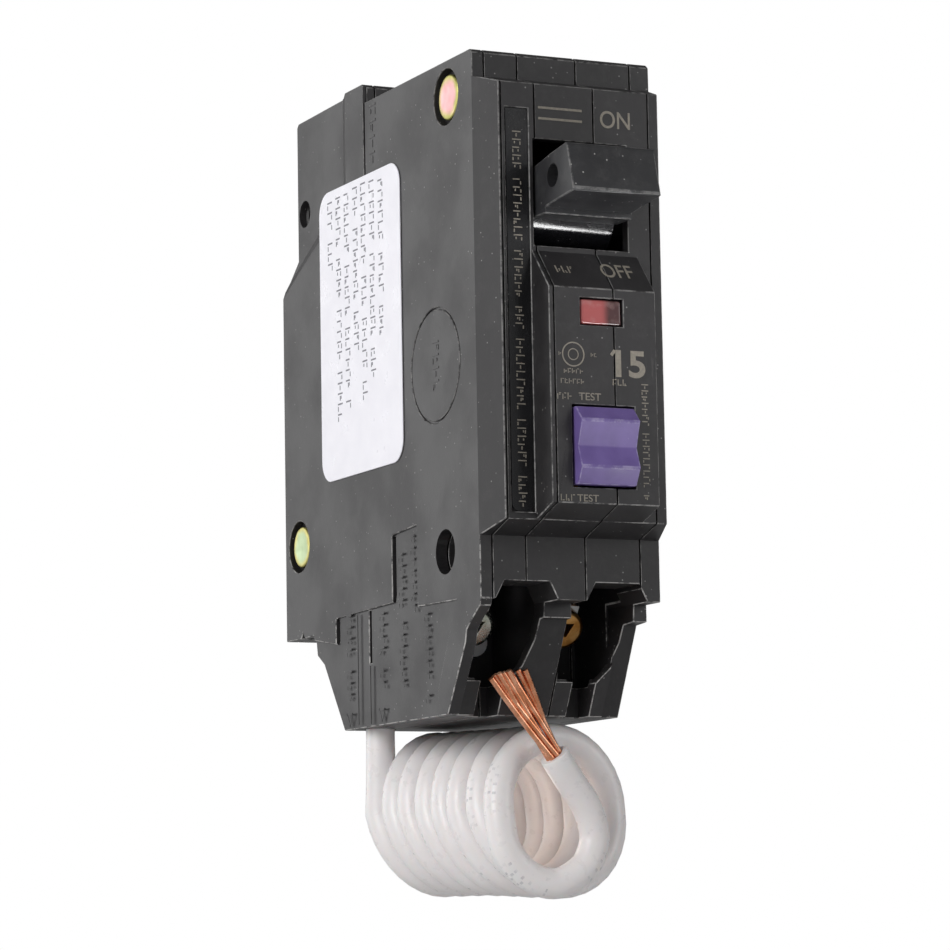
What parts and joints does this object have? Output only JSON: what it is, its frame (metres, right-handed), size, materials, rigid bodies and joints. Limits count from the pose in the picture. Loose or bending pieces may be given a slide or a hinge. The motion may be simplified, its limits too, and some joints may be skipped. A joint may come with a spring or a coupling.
{
  "type": "gfci breaker",
  "caption": "One-pole plug-on ground-fault breaker: layered moulded case, rocking toggle, test rocker, indicator window, two screw clamps, rear stab jaw, coiled neutral pigtail.",
  "frame": {"origin": "middle of the flat rear face, where the breaker rests in its panel", "axes": "+Z towards the line end of the case (the handle is up, at on), +Y out of the rear face into the panel, +X towards the side without the label"},
  "size_m": [0.0279, 0.0777, 0.1098],
  "materials": {
    "case_black": "fine moulded grain",
    "nameplate_black": "glossy",
    "handle_black": "satin",
    "label_white": "satin film",
    "rocker_purple": "satin",
    "window_red": "glossy",
    "rivet_zinc": "yellow-pink passivated zinc",
    "steel": "plated",
    "brass": "satin",
    "copper": "bright copper",
    "contact_silver": "satin silver",
    "arc_fibre": "pressed fibre",
    "board_green": "satin solder mask",
    "component_dark": "satin",
    "ferrite_blue": "epoxy coated",
    "winding": "enamelled copper wire",
    "pigtail_white": "soft PVC insulation"
  },
  "bodies": {
    "case": {"arc_frame": "arc_fibre", "arc_plate_1": "steel", "arc_plate_2": "steel", "arc_plate_3": "steel", "arm_pin": "steel", "bimetal": "brass", "calibration_screw": "brass", "capacitor": "component_dark", "case_rivet_front": "rivet_zinc", "case_rivet_rear": "rivet_zinc", "centre_case": "case_black", "circuit_board": "board_green", "controller_chip": "component_dark", "cradle_pin": "steel", "electronics_case": "case_black", "fault_sensor": "ferrite_blue", "fixed_contact": "contact_silver", "flexible_braid": "copper", "handle_pin": "steel", "indicator_lamp": "component_dark", "indicator_window": "window_red", "jaw_spring": "steel", "latch_pin": "steel", "left_cover": "case_black", "line_jaw": "copper", "line_strap": "copper", "load_strap": "copper", "load_terminal": "brass", "magnet_yoke": "steel", "mechanism_case": "case_black", "nameplate_strip": "nameplate_black", "neutral_conductor": "pigtail_white", "neutral_sensor": "ferrite_blue", "neutral_terminal": "brass", "pigtail_coil": "pigtail_white", "pigtail_lead": "pigtail_white", "pigtail_strands": "copper", "pigtail_tail": "pigtail_white", "plunger_spring": "steel", "right_cover": "case_black", "rivet_high": "rivet_zinc", "rivet_low": "rivet_zinc", "rocker_pin": "steel", "side_label": "label_white", "solenoid_coil": "winding", "solenoid_frame": "steel", "test_leaf": "brass", "toggle_spring": "steel", "varistor": "ferrite_blue"},
    "handle": {"handle": "handle_black"},
    "contact_arm": {"contact_arm": "copper", "moving_contact": "contact_silver"},
    "cradle": {"cradle": "steel"},
    "plunger": {"plunger": "steel"},
    "latch": {"latch": "steel"},
    "test_rocker": {"test_rocker": "rocker_purple"},
    "neutral_clamp": {"neutral_clamp": "steel"},
    "neutral_screw": {"neutral_screw": "steel"},
    "load_clamp": {"load_clamp": "steel"},
    "load_screw": {"load_screw": "brass"}
  },
  "joints": [
    {"name": "handle_turn", "type": "hinge", "parent": "case", "child": "handle", "pos_m": [0, -0.0612, 0.0255], "axis": [1, 0, 0], "range_deg": [0, 28], "deforming": ["toggle_spring"]},
    {"name": "contact_arm_turn", "type": "hinge", "parent": "case", "child": "contact_arm", "pos_m": [0.008, -0.0519, 0.0216], "axis": [1, 0, 0], "range_deg": [-12, 0]},
    {"name": "cradle_turn", "type": "hinge", "parent": "case", "child": "cradle", "pos_m": [0.0031, -0.0322, 0.035], "axis": [1, 0, 0], "range_deg": [-12, 0]},
    {"name": "plunger_slide", "type": "slide", "parent": "case", "child": "plunger", "axis": [0, 1, 0], "range_m": [0, 0.001], "stiffness_N_per_m": 200, "springref_m": -0.001, "deforming": ["plunger_spring"]},
    {"name": "latch_turn", "type": "hinge", "parent": "case", "child": "latch", "pos_m": [0.0063, -0.0416, -0.0123], "axis": [1, 0, 0], "range_deg": [-5, 0]},
    {"name": "test_rocker_turn", "type": "hinge", "parent": "case", "child": "test_rocker", "pos_m": [0.00035, -0.0689, -0.00575], "axis": [1, 0, 0], "range_deg": [-4, 4], "stiffness_Nm_per_rad": 0.02},
    {"name": "neutral_clamp_slide", "type": "slide", "parent": "case", "child": "neutral_clamp", "axis": [0, -0.866, -0.5], "range_m": [0, 0.002]},
    {"name": "neutral_screw_turn", "type": "hinge", "parent": "neutral_clamp", "child": "neutral_screw", "pos_m": [-0.00795, -0.0471, -0.0246], "axis": [0, -0.866, -0.5], "range_deg": [0, 900]},
    {"name": "load_clamp_slide", "type": "slide", "parent": "case", "child": "load_clamp", "axis": [0, -0.866, -0.5], "range_m": [0, 0.002]},
    {"name": "load_screw_turn", "type": "hinge", "parent": "load_clamp", "child": "load_screw", "pos_m": [0.00485, -0.0471, -0.0246], "axis": [0, -0.866, -0.5], "range_deg": [0, 900]}
  ],
  "couplings": [
    {"joint": "contact_arm_turn", "follows": "handle_turn", "ratio": -0.42821},
    {"joint": "latch_turn", "follows": "plunger_slide", "rad_per_m": -81.3},
    {"joint": "neutral_screw_turn", "follows": "neutral_clamp_slide", "rad_per_m": 7853.9},
    {"joint": "load_screw_turn", "follows": "load_clamp_slide", "rad_per_m": 7853.9}
  ]
}
